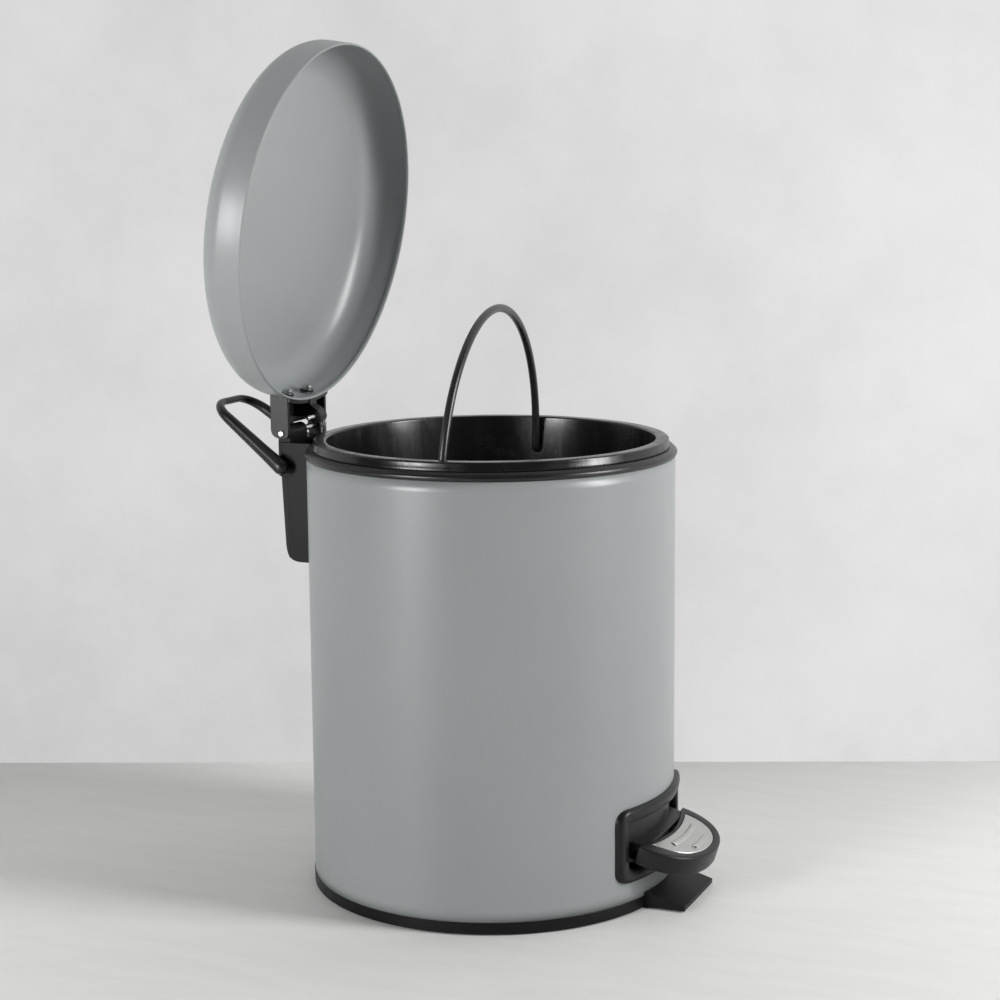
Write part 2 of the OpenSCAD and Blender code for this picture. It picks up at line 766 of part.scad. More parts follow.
// Room through the shield for the lever's front tab
module lever_room() {
    on_tread() translate([-lever_w / 2 - 0.4, -2, tab_z - lever_t / 2 - 1.2])
        cube([lever_w + 0.8, 16, lever_t + 1.5]);
}

module pedal() {
    color(black_plastic) difference() {
        union() {
            difference() {
                on_tread() tread_body();
                translate([0, 0, -cut]) cylinder(r = shield_r - shield_t + 0.1, h = shell_h);
            }
            shield();
        }
        lever_room();
        on_tread() for (y = screw_from_back) translate([0, -y, -tread_t - boss_h - cut])
            cylinder(d = 2.6, h = boss_h + cut + 1, $fn = fine);
    }
}

// Stainless plate let into the tread, with two pressed ribs
plate_half = tread_half - plate_side;
plate_inset = 4;
plate_l = tread_l - plate_front - plate_inset;
plate_back_r = tread_back + plate_inset + 2;
rib_w = 2.6;
rib_h = 0.7;
rib_back = [5, 14];
rib_half_angle = [8.6, 4.4];

module plate_outline(grow) {
    difference() {
        translate([0, -plate_inset]) half_oval(plate_half + grow, plate_l + grow);
        translate([0, tread_back]) circle(r = plate_back_r - grow, $fn = 160);
    }
}

module pedal_plate() {
    color(bright_steel) on_tread() {
        translate([0, 0, -plate_t]) linear_extrude(plate_t + 0.2) plate_outline(0);
        for (i = [0, 1]) translate([0, tread_back, 0.2])
            rotate([0, 0, -90 - rib_half_angle[i]])
                rotate_extrude(angle = 2 * rib_half_angle[i], $fn = 160)
                    translate([plate_back_r + rib_back[i], -0.05]) square([rib_w, rib_h]);
    }
}

// Lever: bent steel strip from the pedal over the pivot to the push rod
strap_lift = 3.2;
barrel_d = 7.8;
rod_foot_y = body_r - 11.5;
strap_rear = rod_foot_y + 5;
ear_up = 4.4;
front_knee_y = body_r - 6.5;
low_knee_y = body_r - 11.5;
strap_z = pivot_z + strap_lift;

function unit(v) = v / norm(v);
// Direction of the piece of a path that starts or ends nearest point i
function heading(p, i) = let (k = max(0, min(i, len(p) - 2))) unit(p[k + 1] - p[k]);
function left_of(v) = [-v[1], v[0]];
// Point i of a path moved sideways by h, on the mitre of its two pieces
function side_point(p, i, h) =
    let (n = left_of(heading(p, i)), m = unit(n + left_of(heading(p, i - 1)))) p[i] + m * h / (m * n);

// A strip of thickness t along a path
module ribbon(p, t) {
    polygon(concat([for (i = [0 : len(p) - 1]) side_point(p, i, t / 2)],
                   [for (i = [len(p) - 1 : -1 : 0]) side_point(p, i, -t / 2)]));
}

// The lever's front tab, in the tread's frame turned into body coordinates
function tread_point(y, z) = [
    -tread_back + y * cos(tread_tilt) - z * sin(tread_tilt),
    tread_z - 0.5 + y * sin(tread_tilt) + z * cos(tread_tilt)];

module pedal_lever() {
    tab_front = tread_point(-screw_from_back[1] - 4.5, tab_z);
    tab_back = tread_point(6, tab_z);
    knee = [-low_knee_y, strap_z];
    over = [-pivot_front, strap_z];
    rear = [strap_rear, rod_foot_z - ear_up];
    color(zinc_steel) difference() {
        union() {
            along_x(-lever_w / 2, lever_w / 2) ribbon([tab_front, tab_back, knee, over, rear], lever_t);
            bar_x(barrel_d, -lever_w / 2, lever_w / 2, -pivot_front, pivot_z);
            along_x(lever_w / 2 - lever_t, lever_w / 2) polygon([
                [rod_foot_y - 8, rear[1] - lever_t / 2], [strap_rear - 0.4, rear[1]],
                [strap_rear - 0.4, rod_foot_z + 3.2], [strap_rear - 1.6, rod_foot_z + ear_up],
                [rod_foot_y - 6.5, rod_foot_z + ear_up], [rod_foot_y - 8, rod_foot_z + 3]]);
        }
        bar_x(pivot_d + 2 * pin_play, -lever_w, lever_w, -pivot_front, pivot_z);
        along_x(lever_w / 2 - lever_t - cut, lever_w / 2 + cut) {
            translate([rod_foot_y - 3.4, rod_foot_z]) circle(d = rod_d + 1, $fn = fine);
            translate([rod_foot_y + 0.8, rod_foot_z]) circle(d = rod_d + 1, $fn = fine);
            translate([rod_foot_y - 3.4, rod_foot_z - (rod_d + 1) / 2]) square([4.2, rod_d + 1]);
        }
        on_tread() for (y = screw_from_back) translate([0, -y, tab_z - lever_t])
            cylinder(d = 3.2, h = 2 * lever_t, $fn = fine);
    }
}

module pedal_screws() {
    color(zinc_steel) on_tread() for (y = screw_from_back) {
        translate([0, -y, tab_z - lever_t / 2]) cylinder(d = 2.6, h = lever_t + boss_h, $fn = fine);
        translate([0, -y, tab_z - lever_t / 2 - 1.7])
            cylinder(d1 = 4.4, d2 = 5.8, h = 1.7, $fn = fine);
    }
}

// Pivot pin across the lugs, with a clip on each end
clip_t = 0.8;

module pivot_pin() {
    half = lug_in + lug_t + clip_t + 1;
    color(bright_steel) difference() {
        bar_x(pivot_d, -half, half, -pivot_front, pivot_z);
        both_sides() difference() {
            bar_x(pivot_d + 1, half - 1 - clip_t, half - 1, -pivot_front, pivot_z);
            bar_x(pivot_d - 0.8, half - 1 - clip_t, half - 1, -pivot_front, pivot_z);
        }
    }
}

module pivot_clips() {
    x0 = lug_in + lug_t;
    color(zinc_steel) both_sides() difference() {
        bar_x(pivot_d + 4.5, x0, x0 + clip_t, -pivot_front, pivot_z);
        bar_x(pivot_d - 0.8, x0 - cut, x0 + clip_t + cut, -pivot_front, pivot_z);
        translate([x0 - cut, -pivot_front, pivot_z - 0.9]) cube([clip_t + 2 * cut, 8, 1.8]);
    }
}

// Push rod: bent wire from the lid's bracket to the lever
rod_run_y = body_r - 4.3;
rod_stub = 8;
rod_foot_stub = 2.5;
// Depths below the shell's edge, then heights above the rod's foot, of its bends
rod_high_bends = [17, 37];
rod_low_bends = [34, 20];
rod_points = [
    [rib_x[0] - rod_stub, hook_at[1], hook_at[2]],
    [rod_x, hook_at[1], hook_at[2]],
    [rod_x, hook_at[1], shell_top - rod_high_bends[0]],
    [rod_x, rod_run_y, shell_top - rod_high_bends[1]],
    [rod_x, rod_run_y, rod_foot_z + rod_low_bends[0]],
    [rod_x, rod_foot_y, rod_foot_z + rod_low_bends[1]],
    [rod_x, rod_foot_y, rod_foot_z],
    [lever_w / 2 - lever_t - rod_foot_stub, rod_foot_y, rod_foot_z]];

rod_knee_d = rod_d + 0.12;

// A round wire along a list of points, with a ball at each bend
module wire(points, d) {
    for (i = [0 : len(points) - 2]) {
        v = points[i + 1] - points[i];
        translate(points[i]) rotate([0, acos(v[2] / norm(v)), atan2(v[1], v[0])])
            cylinder(d = d, h = norm(v), $fn = 32);
    }
    for (i = [1 : len(points) - 2]) translate(points[i]) sphere(d = rod_knee_d, $fn = 32);
}

module push_rod() {
    color(bright_steel) wire(rod_points, rod_d);
}

module rod_clip() {
    color(black_steel) difference() {
        bar_x(rod_d + 3.6, rib_x[0] - gap - 0.8, rib_x[0] - gap, hook_at[1], hook_at[2]);
        bar_x(rod_d, rib_x[0] - gap - 0.8 - cut, rib_x[0] - gap + cut, hook_at[1], hook_at[2]);
    }
}

// Guide fork inside the shell that keeps the rod in line
guide_up = 110;
guide_z = shell_z + guide_up;
guide_h = 12;
guide_reach = 10;
guide_back = 2;
guide_cheek = 2;

module rod_guide() {
    slot_w = rod_d + 1;
    color(black_plastic) intersection() {
        translate([0, 0, guide_z]) cylinder(r = shell_in_r, h = guide_h, $fn = 160);
        difference() {
            translate([rod_x - slot_w / 2 - guide_cheek, body_r - guide_reach, guide_z])
                cube([slot_w + 2 * guide_cheek, guide_reach, guide_h]);
            translate([rod_x - slot_w / 2, body_r - guide_reach - cut, guide_z - cut])
                cube([slot_w, guide_reach - guide_back + cut, guide_h + 2 * cut]);
        }
    }
}

base();
foot_pads();
shell();
pedal_surround();
top_ring();
hinge_housing();
housing_screws();
hinge_pin();
rod_guide();
pivot_pin();
pivot_clips();
bucket();
bucket_bail();
lid();
lid_bracket();
lid_screws();
lid_washers();
push_rod();
rod_clip();
pedal();
pedal_plate();
pedal_lever();
pedal_screws();
carry_handle();
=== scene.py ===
import math
import bmesh
import bpy
import numpy as np
from mathutils import Matrix


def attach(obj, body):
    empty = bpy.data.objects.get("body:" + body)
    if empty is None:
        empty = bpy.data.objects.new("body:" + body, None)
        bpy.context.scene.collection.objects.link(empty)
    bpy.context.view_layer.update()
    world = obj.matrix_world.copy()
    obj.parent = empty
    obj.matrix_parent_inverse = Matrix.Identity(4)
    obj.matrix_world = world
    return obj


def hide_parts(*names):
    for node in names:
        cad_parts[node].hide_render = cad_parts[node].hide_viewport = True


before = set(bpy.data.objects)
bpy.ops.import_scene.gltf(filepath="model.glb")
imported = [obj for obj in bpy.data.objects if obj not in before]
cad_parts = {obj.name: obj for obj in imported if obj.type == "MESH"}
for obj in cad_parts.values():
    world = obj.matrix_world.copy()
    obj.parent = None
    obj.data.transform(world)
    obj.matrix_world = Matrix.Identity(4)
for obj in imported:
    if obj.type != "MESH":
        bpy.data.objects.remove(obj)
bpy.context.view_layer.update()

# The camera stands where the photographer stood: in front of the pail's left side, a little above
# the rim, and tipped down. Its frame of right, up and back is turned by the pail's own turn.
TURN = math.radians(-67)
EYE_BACK, EYE_UP = 1.20316, 0.41671
TIP, SWING, ROLL = 0.1647, 0.0040, -0.0085
LENS_PX = 2180.82

turned = np.array([[math.cos(TURN), -math.sin(TURN), 0],
                   [math.sin(TURN), math.cos(TURN), 0],
                   [0, 0, 1]])


def in_room(x, y, z):
    """A place in the room, from metres to the camera's right, away from it, and up."""
    return turned @ np.array([x, y, z])


ahead = np.array([math.sin(SWING) * math.cos(TIP), math.cos(SWING) * math.cos(TIP), -math.sin(TIP)])
level = np.array([math.cos(SWING), -math.sin(SWING), 0])
plumb = np.cross(level, ahead)
right = math.cos(ROLL) * level + math.sin(ROLL) * plumb
up = math.cos(ROLL) * plumb - math.sin(ROLL) * level
camera = bpy.data.objects.new("camera", bpy.data.cameras.new("camera"))
camera.data.sensor_width = 36
camera.data.lens = 36 * LENS_PX / 1000
camera.data.clip_start = 0.05
pose = np.eye(4)
pose[:3, :3] = turned @ np.stack([right, up, -ahead], axis=1)
pose[:3, 3] = in_room(0, -EYE_BACK, EYE_UP)
camera.matrix_world = Matrix(pose.tolist())
bpy.context.scene.collection.objects.link(camera)
bpy.context.scene.camera = camera


# The room is a pale matt table top and a pale wall close behind it. Both are only a stage: the wall
# is clear from its back, so that it hides nothing from the other side.
WALL_BEHIND, WALL_SKEW = 0.223, 0.029


class Reading:
    """A node's result that works in sums, so that a mask is written as a formula."""

    def __init__(self, finish, socket):
        self.finish, self.socket = finish, socket

    def joined(self, operation, other):
        return self.finish.node("ShaderNodeMath", {"operation": operation}, {0: self, 1: other})

    def __add__(self, other):
        return self.joined("ADD", other)

    __radd__ = __add__

    def __sub__(self, other):
        return self.joined("SUBTRACT", other)

    def __mul__(self, other):
        return self.joined("MULTIPLY", other)

    def size(self):
        """The value without its sign."""
        return self.joined("ABSOLUTE", 0.0)

    def rise(self, low, high):
        """0 below low, 1 above high, and a smooth step between them."""
        return self.finish.node("ShaderNodeMapRange", {"interpolation_type": "SMOOTHSTEP"},
                                {"Value": self, "From Min": low, "From Max": high})


class Finish:
    """One material. node() adds a node, makes its settings and then its sockets."""

    def __init__(self, name):
        self.material = bpy.data.materials.new(name)
        self.material.use_nodes = True
        self.tree = self.material.node_tree
        self.skin = self.tree.nodes["Principled BSDF"]

    def node(self, kind, settings=None, sockets=None, result=0):
        made = self.tree.nodes.new(kind)
        for key, value in (settings or {}).items():
            setattr(made, key, value)
        for key, value in (sockets or {}).items():
            self.feed(made.inputs[key], value)
        return Reading(self, made.outputs[result])

    def feed(self, socket, value):
        if isinstance(value, Reading):
            self.tree.links.new(value.socket, socket)
        else:
            socket.default_value = value

    def coat(self, **sockets):
        """Sets the surface: a name with low dashes stands for the socket's words."""
        for key, value in sockets.items():
            self.feed(self.skin.inputs[key.replace("_", " ")], value)

    def place(self):
        return self.node("ShaderNodeTexCoord", result=3)

    def part_of_place(self, axis):
        return self.node("ShaderNodeSeparateXYZ", sockets={0: self.place()}, result="XYZ".index(axis))

    def cloud(self, per_metre, detail, rough, stretch=(1, 1, 1)):
        """Soft noise from 0 to 1 with per_metre lumps to the metre, drawn out along an axis."""
        laid = self.node("ShaderNodeMapping", {"vector_type": "POINT"},
                         {"Vector": self.place(), "Scale": stretch})
        return self.node("ShaderNodeTexNoise", {"normalize": True},
                         {"Vector": laid, "Scale": per_metre, "Detail": detail, "Roughness": rough})

    def mix(self, share, first, second):
        """A colour between two colours."""
        return self.node("ShaderNodeMix", {"data_type": "RGBA"}, {0: share, 6: first, 7: second}, 2)

    def relief(self, height, depth, over=None):
        """A bump of that depth in metres, on the surface or over another bump."""
        sockets = {"Height": height, "Distance": depth, "Strength": 1.0}
        if over is not None:
            sockets["Normal"] = over
        return self.node("ShaderNodeBump", sockets=sockets)


def grid_faces(rows, columns, wrap_rows=False, wrap_columns=False):
    """The four corners of each cell of a grid of rows by columns points, numbered row by row."""
    i, j = np.meshgrid(np.arange(rows - (not wrap_rows)), np.arange(columns - (not wrap_columns)),
                       indexing="ij")
    i2, j2 = (i + 1) % rows, (j + 1) % columns
    corners = [i * columns + j, i2 * columns + j, i2 * columns + j2, i * columns + j2]
    return np.stack(corners, axis=-1).reshape(-1, 4)


JOIN_WITHIN = 2e-6


def make_piece(name, shells, crease=34):
    """A mesh object from shells of (points in millimetres, faces). Points that meet are joined,
    faces are turned outwards, and edges sharper than crease degrees stay sharp."""
    points, faces, count = [], [], 0
    for place, cells in shells:
        place = np.asarray(place, float).reshape(-1, 3)
        points.append(place * 0.001)
        faces.extend((np.asarray(cells) + count).tolist())
        count += len(place)
    mesh = bpy.data.meshes.new(name)
    mesh.from_pydata(np.concatenate(points).tolist(), [], faces)
    work = bmesh.new()
    work.from_mesh(mesh)
    bmesh.ops.remove_doubles(work, verts=work.verts, dist=JOIN_WITHIN)
    bmesh.ops.recalc_face_normals(work, faces=work.faces)
    work.to_mesh(mesh)
    work.free()
    mesh.shade_smooth()
    mesh.set_sharp_from_angle(angle=math.radians(crease))
    piece = bpy.data.objects.new(name, mesh)
    bpy.context.scene.collection.objects.link(piece)
    return piece


def dress(piece, finish, body=None, node=None):
    """Gives a piece its material, and if it is part of the pail its body, and hides the CAD solid that it
    stands in for.
    """
    piece.data.materials.clear()
    piece.data.materials.append(finish.material)
    if body:
        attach(piece, body)
    if node:
        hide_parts(node)
    return piece


def sheet_between(name, corners, finish):
    """A flat sheet of the stage between its corners, in metres."""
    piece = make_piece(name, [(np.array(corners) * 1000, [[0, 1, 2, 3]])])
    dress(piece, finish)
    return piece


def rightward(finish):
    """How far a point of the material lies to the camera's right, in metres."""
    return finish.part_of_place("X") * math.cos(TURN) + finish.part_of_place("Y") * math.sin(TURN)


table_top = Finish("pale table top")
# The table top has a faint grain of its own, and is painted lighter towards the camera's left as painted
# light.
grain = table_top.cloud(14, 4, 0.6, (5, 1, 1)).rise(0.35, 0.65)
table_top.coat(Base_Color=table_top.mix(grain * 0.2 + rightward(table_top).rise(0.05, -0.35) * 0.7,
                                        (0.67, 0.67, 0.655, 1), (0.79, 0.79, 0.775, 1)),
               Roughness=0.6, Normal=table_top.relief(table_top.cloud(60, 4, 0.6, (6, 1, 1)), 0.0001))
sheet_between("table", [(-3, -3, 0), (3, -3, 0), (3, 3, 0), (-3, 3, 0)], table_top)

wall_paint = Finish("pale wall")
# The wall has faint blotches of its own, and is painted lighter to the right and upwards as painted light.
# The camera and reflections see this tone as a glow.
wall_blotches_and_painted_light = (wall_paint.cloud(5, 7, 0.66).rise(0.25, 0.75) * 0.10
            + rightward(wall_paint).rise(-0.05, 0.33) * 0.12
            + wall_paint.part_of_place("Z").rise(0.0, 0.3) * 0.07 + 0.56)
wall_colour_and_painted_light = wall_paint.mix(wall_blotches_and_painted_light, (0, 0, 0, 1), (1, 1, 1, 1))
wall_paint.coat(Base_Color=wall_colour_and_painted_light, Roughness=0.9)
path = wall_paint.node("ShaderNodeLightPath")
looked_at = path.joined("MAXIMUM", Reading(wall_paint, path.socket.node.outputs["Is Glossy Ray"]))
glow = wall_paint.node("ShaderNodeEmission", sockets={0: wall_colour_and_painted_light, 1: 1.0})
shown = wall_paint.node("ShaderNodeMixShader", sockets={
    0: looked_at, 1: Reading(wall_paint, wall_paint.skin.outputs[0]), 2: glow})
seen_from_back = wall_paint.node("ShaderNodeNewGeometry", result=6)
clear = wall_paint.node("ShaderNodeBsdfTransparent")
screened = wall_paint.node("ShaderNodeMixShader", sockets={0: seen_from_back, 1: shown, 2: clear})
wall_paint.tree.links.new(screened.socket, wall_paint.tree.nodes["Material Output"].inputs[0])
wall = sheet_between("wall", [in_room(x, WALL_BEHIND - WALL_SKEW * x, z)
                              for x, z in ((-4, 0), (4, 0), (4, 4), (-4, 4))], wall_paint)
if wall.data.polygons[0].normal @ (camera.location - wall.data.vertices[0].co) < 0:
    wall.data.flip_normals()


# The light is that of a small product table: a soft lamp on each side at the pail's own height,
# the left one at half a right angle from the camera, and a dim pale surround.
def soft_lamp(name, place, aim, width, height, watts):
    lamp = bpy.data.objects.new(name, bpy.data.lights.new(name, "AREA"))
    lamp.data.shape = "RECTANGLE"
    lamp.data.size, lamp.data.size_y, lamp.data.energy = width, height, watts
    place, aim = in_room(*place), in_room(*aim)
    back = (place - aim) / np.linalg.norm(place - aim)
    side = np.cross((0, 0, 1), back)
    side = side / np.linalg.norm(side)
    stand = np.eye(4)
    stand[:3, :3] = np.stack([side, np.cross(back, side), back], axis=1)
    stand[:3, 3] = place
    lamp.matrix_world = Matrix(stand.tolist())
    bpy.context.scene.collection.objects.link(lamp)


soft_lamp("right lamp", (1.10, -0.42, 0.66), (0, 0, 0.28), 0.33, 0.80, 17)
soft_lamp("left lamp", (-0.99, -0.90, 0.42), (0, 0, 0.30), 0.42, 0.52, 14)
surround_light = bpy.data.worlds.new("surround")
surround_light.use_nodes = True
surround_light.node_tree.nodes["Background"].inputs[0].default_value = (0.9, 0.93, 0.95, 1)
surround_light.node_tree.nodes["Background"].inputs[1].default_value = 0.04
bpy.context.scene.world = surround_light
bpy.context.scene.view_settings.view_transform = "Standard"


# The base is one black plastic moulding: a ring with a floor, a wall that the shell is pressed on,
# and the flat foot in front that keeps the pail from tipping when the pedal is trodden on.
def black_moulding(name, tone, rough, shine=0.3, rounding=0.0005):
    """Matt black plastic with a fine spark grain, faint flow marks, and edges rounded a little."""
    finish = Finish(name)
    flow = finish.cloud(28, 3, 0.6)
    dust = finish.cloud(420, 2, 0.7)
    finish.coat(
        Base_Color=finish.mix(flow.rise(0.3, 0.75), (tone, tone, tone * 1.03, 1),
                              (tone * 1.5, tone * 1.5, tone * 1.55, 1)),
        Roughness=rough + (flow - 0.5) * 0.12 + (dust - 0.5) * 0.08,
        Normal=finish.relief(finish.cloud(1900, 2, 0.6), 0.00003,
                             finish.node("ShaderNodeBevel", {"samples": 4}, {"Radius": rounding})))
    finish.skin.inputs["Specular IOR Level"].default_value = shine
    return finish


matt_black = black_moulding("moulded black plastic", 0.0045, 0.40, 0.16)
dress(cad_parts["base"], matt_black)


# Six rubber pads are let into the base's underside. They are cut from matt grey rubber sheet.
pad_rubber = Finish("pad rubber")
pad_rubber.coat(Base_Color=pad_rubber.mix(pad_rubber.cloud(300, 3, 0.6), (0.022, 0.022, 0.022, 1),
                                          (0.04, 0.04, 0.04, 1)),
                Roughness=0.85, Normal=pad_rubber.relief(pad_rubber.cloud(1500, 3, 0.7), 0.00005))
dress(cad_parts["foot_pads"], pad_rubber)


# The shell is steel sheet rolled into a cylinder, welded down the back and powder coated in a satin
# mid grey. The pedal opening in front and the rod's slot behind are cut before it is coated.
BODY_R, SHELL_T, SHELL_Z = 102.5, 0.6, (7.0, 243.0)
PEDAL_CUT = (41.2, 25.3, 52.7)
ROD_CUT = (8.8, 15.2, 188.0, 222.0)


def powder_coat(name, tone, seam=False):
    """Satin grey powder coat of that tone: a faint orange peel, slight cloudiness, soft wipe marks
    and, on the shell, the low ridge of the weld down the back."""
    finish = Finish(name)
    broad = finish.cloud(9, 2, 0.5)
    wiped = finish.cloud(30, 4, 0.6, (1, 1, 0.25))
    peel = finish.cloud(650, 2, 0.5)
    speck = finish.cloud(2600, 1, 0.5)
    finish.coat(
        Base_Color=finish.mix(broad.rise(0.25, 0.75), (tone * 0.93, tone * 0.99, tone, 1),
                              (tone * 0.98, tone * 1.04, tone * 1.04, 1)),
        Roughness=0.33 + (wiped - 0.5) * 0.06 + (speck - 0.5) * 0.05)
    skin = finish.relief(peel, 0.000012, finish.relief(speck, 0.000005))
    if seam:
        ridge = finish.part_of_place("X").size().rise(0.0016, 0.0002)
        skin = finish.relief(ridge * finish.part_of_place("Y").rise(0.0, 0.01), 0.00025, skin)
    finish.coat(Normal=skin)
    return finish


def shell_wall():
    """Point (turn, height) on a cylinder. The grid has a line along each edge of the two cuts, and
    the cells inside the cuts are left out."""
    edge = np.degrees(np.arcsin(np.array([-PEDAL_CUT[0], PEDAL_CUT[0], ROD_CUT[0], ROD_CUT[1]]) / BODY_R))
    turn = np.union1d(np.linspace(-180, 180, 241)[:-1], np.array([-90 + edge[0], -90 + edge[1],
                                                                  90 - edge[2], 90 - edge[3]]))
    height = np.union1d(np.linspace(*SHELL_Z, 40), np.array(PEDAL_CUT[1:] + ROD_CUT[2:]))
    a, z = np.meshgrid(np.radians(turn), height, indexing="ij")
    points = np.stack([BODY_R * np.cos(a), BODY_R * np.sin(a), z], axis=-1)
    cells = grid_faces(len(turn), len(height), wrap_rows=True)
    middle = points.reshape(-1, 3)[cells].mean(axis=1)
    x, y, z = middle.T
    in_front = (y < 0) & (np.abs(x) < PEDAL_CUT[0] - 0.05) & (z > PEDAL_CUT[1]) & (z < PEDAL_CUT[2])
    behind = (y > 0) & (x > ROD_CUT[0]) & (x < ROD_CUT[1]) & (z > ROD_CUT[2]) & (z < ROD_CUT[3])
    return points, cells[~(in_front | behind)]


# The shell's coat is the lid's paint drawn a little darker, as painted shade.
shell_coat_painted_darker = powder_coat("grey powder coat on the shell, painted darker", 0.252, seam=True)
shell = make_piece("shell_sheet", [shell_wall()])
wall_depth = shell.modifiers.new("sheet", "SOLIDIFY")
wall_depth.thickness, wall_depth.offset = SHELL_T * 0.001, -1
dress(shell, shell_coat_painted_darker, "body", "shell")


# The ring is clipped over the shell's upper edge. It is a black plastic moulding with a rounded
# bead outside, a flat top that carries the bucket, and a short leg down inside the shell.
def arc_points(centre, radius, start, end, count):
    """Points on an arc in the plane, from start to end degrees."""
    a = np.radians(np.linspace(start, end, count))
    return np.stack([centre[0] + radius * np.cos(a), centre[1] + radius * np.sin(a)], axis=-1)


def turned_on_lathe(profile, closed=False):
    """Each (radius, height) of the profile carried round the upright axis."""
    profile, steps = np.asarray(profile, float), 180
    a = np.radians(np.arange(steps) * 360.0 / steps)[:, None]
    points = np.stack([profile[:, 0] * np.cos(a), profile[:, 0] * np.sin(a),
                       np.broadcast_to(profile[:, 1], (steps, len(profile)))], axis=-1)
    return points, grid_faces(steps, len(profile), True, closed)


RING_TOP = 247.6
ring_profile = np.concatenate([
    [(99.9, 236.4), (100.2, 236.0), (101.9, 236.0), (101.9, 243.05), (102.8, 243.05)],
    arc_points((101.85, 244.75), 1.7, -62, 52, 12),
    arc_points((101.0, 247.0), 0.6, 55, 90, 4),
    [(96.6, RING_TOP)], arc_points((96.5, 247.3), 0.3, 90, 180, 4), [(96.2, 245.9), (99.9, 245.8)]])
matt_ring = black_moulding("black ring plastic", 0.008, 0.30, 0.45)
dress(make_piece("top_ring_moulding", [turned_on_lathe(ring_profile, closed=True)]), matt_ring,
      "body", "top_ring")


# The bucket is blown or moulded in glossy black plastic. It tapers to its floor and hangs by a wide
# rim and a collar that sit on the ring. It stands turned a little in the body, as it was put in.
BUCKET_TURN = math.radians(5.5)


def about_upright(points, angle):
    """Points turned about the upright axis."""
    c, s = math.cos(angle), math.sin(angle)
    return np.asarray(points) @ np.array([[c, s, 0], [-s, c, 0], [0, 0, 1]])


bucket_profile = np.concatenate([
    [(0, 30), (40, 30)], arc_points((76, 36), 6, -90, 0, 10), [(86.2, 125), (92.7, 246)],
    arc_points((93.6, 250.2), 0.6, 180, 90, 4), [(96.9, 250.7)], arc_points((97.2, 250.2), 0.4, 60, 0, 4),
    [(97.9, 248.1)], arc_points((98.4, 248.0), 0.4, 180, 270, 4),
    arc_points((99.1, 248.0), 0.4, 270, 360, 4),
    [(99.48, 248.9), (99.1, 249.5)], arc_points((97.7, 251.35), 1.25, 5, 90, 8),
    [(95.2, 252.62)], arc_points((92.7, 251.4), 1.2, 90, 180, 8), [(91.1, 244), (80.6, 40)],
    arc_points((76, 36), 4.4, 0, -90, 8), [(40, 31.5), (0, 31.4)]])
gloss_black = Finish("glossy black bucket plastic")
streaks = gloss_black.cloud(60, 4, 0.65, (1, 1, 0.12))
scuffs = gloss_black.cloud(36, 5, 0.7)
gloss_black.coat(
    Base_Color=gloss_black.mix(scuffs.rise(0.52, 0.8), (0.0065, 0.0065, 0.007, 1),
                               (0.018, 0.018, 0.019, 1)),
    Roughness=0.20 + streaks.rise(0.35, 0.8) * 0.16 + scuffs.rise(0.5, 0.8) * 0.14,
    Normal=gloss_black.relief(gloss_black.cloud(95, 3, 0.5), 0.00006,
                              gloss_black.relief(gloss_black.cloud(900, 2, 0.5), 0.000006)))
bucket_points, bucket_cells = turned_on_lathe(bucket_profile)
dress(make_piece("bucket_moulding", [(about_upright(bucket_points, BUCKET_TURN), bucket_cells)]),
      gloss_black, "body", "bucket")


# The bail is steel wire in a glossy black coat, bent to a half ring. Its ends turn outwards through
# the bucket's wall, so that it can fold down to the front.
def tube(path, radius, around, cap, hint=(0.31, 0.83, 0.46)):
    """A round bar along a path: rings square to the path, and ends closed by a low dome that is
    cap radii high. The hint only fixes where each ring starts."""
    path = np.asarray(path, float)
    radius = np.broadcast_to(np.asarray(radius, float), len(path)).copy()
    along = np.gradient(path, axis=0)
    along /= np.linalg.norm(along, axis=1)[:, None]
    bow = np.radians(np.linspace(0, 90, 6))[:-1]
    first = path[0] - along[0] * (cap * radius[0] * np.cos(bow))[:, None]
    last = path[-1] + along[-1] * (cap * radius[-1] * np.cos(bow[::-1]))[:, None]
    middle = np.concatenate([first, path, last])
    width = np.concatenate([radius[0] * np.sin(bow), radius, radius[-1] * np.sin(bow[::-1])])
    way = np.concatenate([np.repeat(along[:1], 5, 0), along, np.repeat(along[-1:], 5, 0)])
    side = np.cross(way, hint)
    side /= np.linalg.norm(side, axis=1)[:, None]
    other = np.cross(way, side)
    a = np.radians(np.arange(around) * 360.0 / around)
    rings = (middle[:, None] + width[:, None, None] *
             (side[:, None] * np.cos(a)[None, :, None] + other[:, None] * np.sin(a)[None, :, None]))
    return rings, grid_faces(len(middle), around, False, True)


def about_level(points, angle):
    """Points turned about the X axis by the right-hand rule."""
    c, s = math.cos(angle), math.sin(angle)
    return np.asarray(points) @ np.array([[1, 0, 0], [0, c, s], [0, -s, c]])


